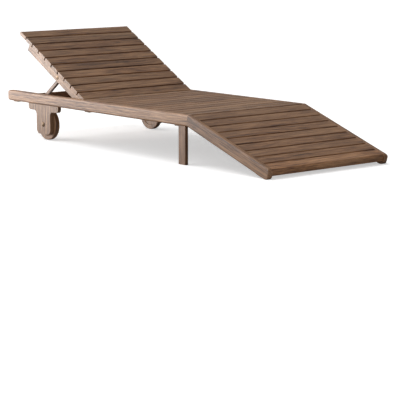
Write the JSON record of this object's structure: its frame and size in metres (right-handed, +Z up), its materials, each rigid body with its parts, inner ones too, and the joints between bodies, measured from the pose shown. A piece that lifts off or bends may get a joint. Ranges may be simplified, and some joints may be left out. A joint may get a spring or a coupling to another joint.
{
  "type": "reclining sun lounger",
  "caption": "Slatted wooden sun lounger with a hinged backrest on a notched rack prop, two wheels under the head end and a foot part sloping to the ground.",
  "frame": {"origin": "on the ground under the middle of the lounger's length and width", "axes": "+X along the lounger from the head end to the foot end, +Y to the left of a person lying on it, +Z up"},
  "size_m": [2.0319, 0.75, 0.5413],
  "materials": {
    "rail_wood": "oiled",
    "seat_slat_wood": "oiled",
    "back_slat_wood": "oiled",
    "structure_wood": "oiled",
    "wheel_wood": "oiled",
    "aged_brass": "satin",
    "steel": "satin"
  },
  "bodies": {
    "frame": {"side_rail_left": "rail_wood", "side_rail_right": "rail_wood", "foot_rail_left": "rail_wood", "foot_rail_right": "rail_wood", "leg_left": "rail_wood", "leg_right": "rail_wood", "wheel_bracket_left": "rail_wood", "wheel_bracket_right": "rail_wood", "seat_slat_01": "seat_slat_wood", "seat_slat_02": "seat_slat_wood", "seat_slat_03": "seat_slat_wood", "seat_slat_04": "seat_slat_wood", "seat_slat_05": "seat_slat_wood", "seat_slat_06": "seat_slat_wood", "seat_slat_07": "seat_slat_wood", "seat_slat_08": "seat_slat_wood", "seat_slat_09": "seat_slat_wood", "seat_slat_10": "seat_slat_wood", "seat_slat_11": "seat_slat_wood", "seat_slat_12": "seat_slat_wood", "seat_slat_13": "seat_slat_wood", "foot_slats": "seat_slat_wood", "foot_nosing": "seat_slat_wood", "head_stretcher": "structure_wood", "hinge_stretcher": "structure_wood", "under_battens": "structure_wood", "foot_batten": "structure_wood", "rack_left": "structure_wood", "rack_right": "structure_wood", "slat_ledgers": "structure_wood", "axle_bolts": "aged_brass", "axle_nuts": "steel", "frame_hinge_leaves": "steel", "frame_slat_screws": "steel"},
    "wheel_l": {"wheel_left": "wheel_wood"},
    "wheel_r": {"wheel_right": "wheel_wood"},
    "backrest": {"back_slat_01": "back_slat_wood", "back_slat_02": "back_slat_wood", "back_slat_03": "back_slat_wood", "back_slat_04": "back_slat_wood", "back_slat_05": "back_slat_wood", "back_slat_06": "back_slat_wood", "back_slat_07": "back_slat_wood", "back_slat_08": "back_slat_wood", "back_slat_09": "back_slat_wood", "back_slat_10": "back_slat_wood", "back_bearer_left": "rail_wood", "back_bearer_right": "rail_wood", "back_top_bar": "structure_wood", "back_mid_bar": "structure_wood", "back_bottom_board": "structure_wood", "back_slat_dowels": "structure_wood", "back_slat_screws": "steel", "back_hinge_leaves": "steel", "prop_bolts": "aged_brass", "prop_nuts": "steel"},
    "prop": {"prop_strut_left": "structure_wood", "prop_strut_right": "structure_wood", "prop_bar": "structure_wood"}
  },
  "joints": [
    {"name": "backrest_recline", "type": "hinge", "parent": "frame", "child": "backrest", "pos_m": [-0.37399, 0, 0.2315], "axis": [0, 1, 0], "range_deg": [-29.2, 18]},
    {"name": "prop_swing", "type": "hinge", "parent": "backrest", "child": "prop", "pos_m": [-0.60127, 0, 0.32702], "axis": [0, 1, 0], "range_deg": [-41.4, 67.17]},
    {"name": "wheel_left_spin", "type": "hinge", "parent": "frame", "child": "wheel_l", "pos_m": [-0.69899, 0.3361, 0.081], "axis": [0, 1, 0], "continuous": true},
    {"name": "wheel_right_spin", "type": "hinge", "parent": "frame", "child": "wheel_r", "pos_m": [-0.69899, -0.3361, 0.081], "axis": [0, 1, 0], "continuous": true}
  ],
  "couplings": [
    {"joint": "prop_swing", "follows": "backrest_recline", "ratio": -2.3}
  ]
}
